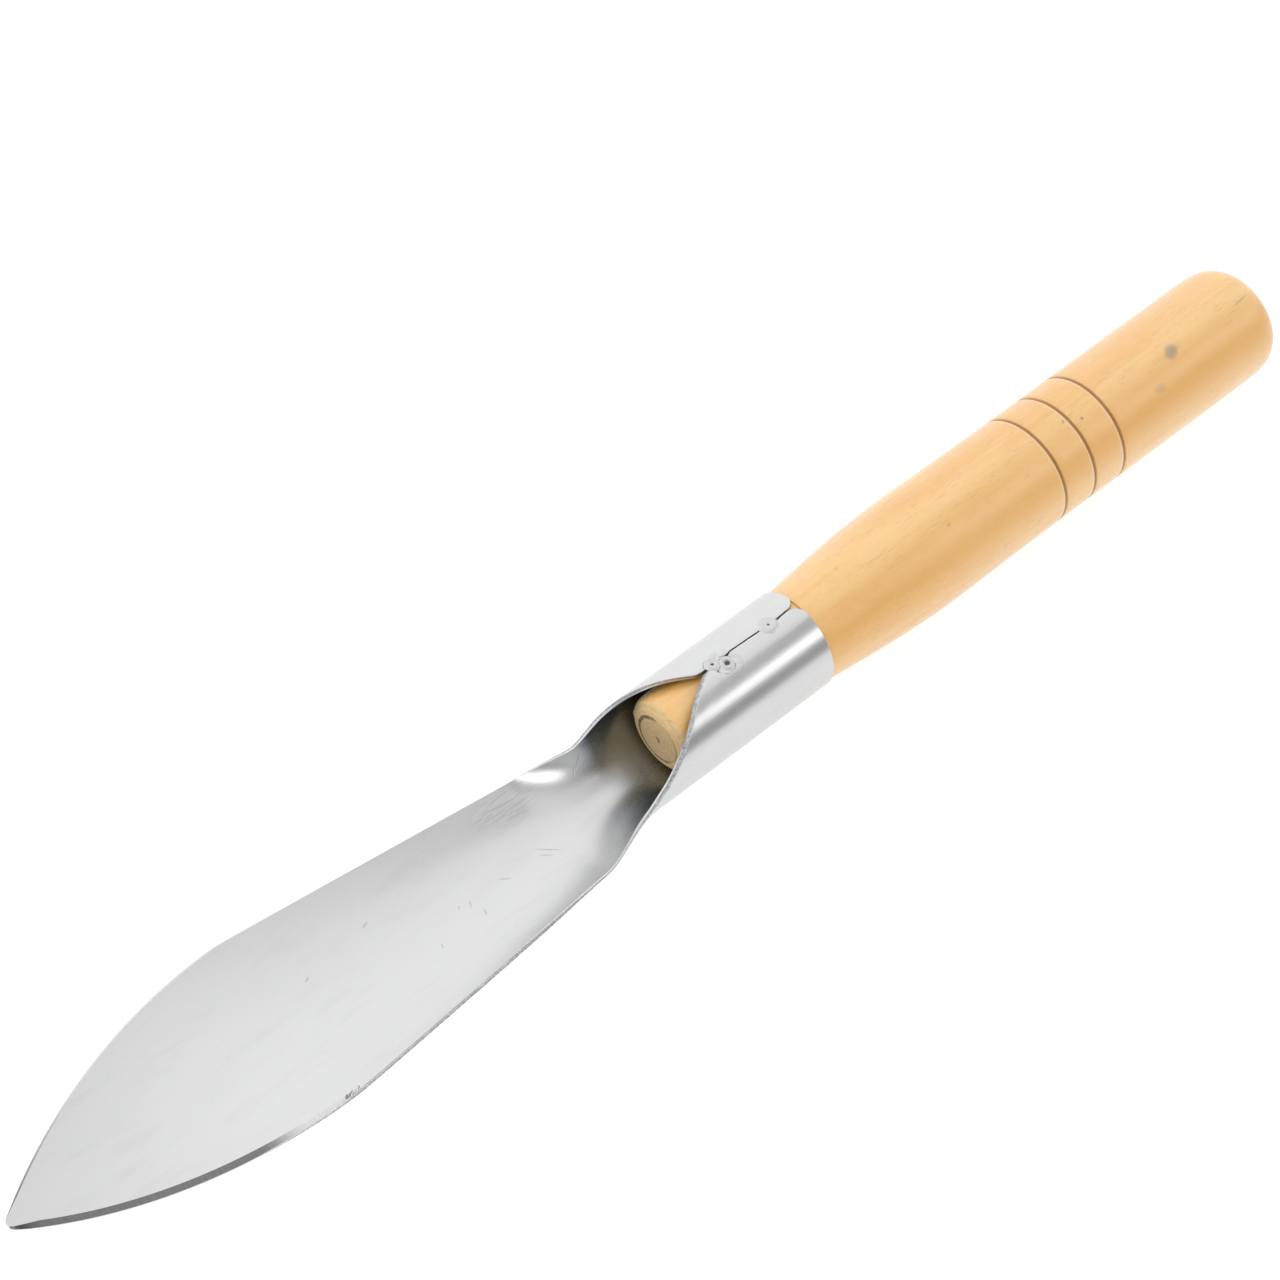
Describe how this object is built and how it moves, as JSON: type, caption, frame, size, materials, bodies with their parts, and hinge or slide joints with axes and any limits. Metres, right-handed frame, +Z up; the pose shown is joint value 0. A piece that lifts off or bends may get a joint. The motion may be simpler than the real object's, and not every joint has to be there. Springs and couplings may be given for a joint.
{
  "type": "hand trowel",
  "caption": "Leaf-shaped steel hand trowel; blade and rolled socket are one sheet, on a turned wooden handle with three grooves.",
  "frame": {"origin": "below the middle of the overall length, level with the handle's lowest line", "axes": "+X along the handle's axis towards the blade's tip, +Z up out of the blade's hollow, Y across the blade"},
  "size_m": [0.3614, 0.0472, 0.0283],
  "materials": {
    "brushed_sheet": "satin stainless sheet with fine lengthwise brushing",
    "handle_wood": "pale honey hardwood, turned and thinly varnished",
    "weld_metal": "small rippled tack welds, left as welded",
    "nail_steel": "plain bright nail"
  },
  "bodies": {
    "root": {"blade_and_socket": "brushed_sheet", "handle": "handle_wood", "front_tack_weld": "weld_metal", "middle_tack_weld": "weld_metal", "rear_tack_weld": "weld_metal", "retaining_nail": "nail_steel"}
  },
  "joints": []
}
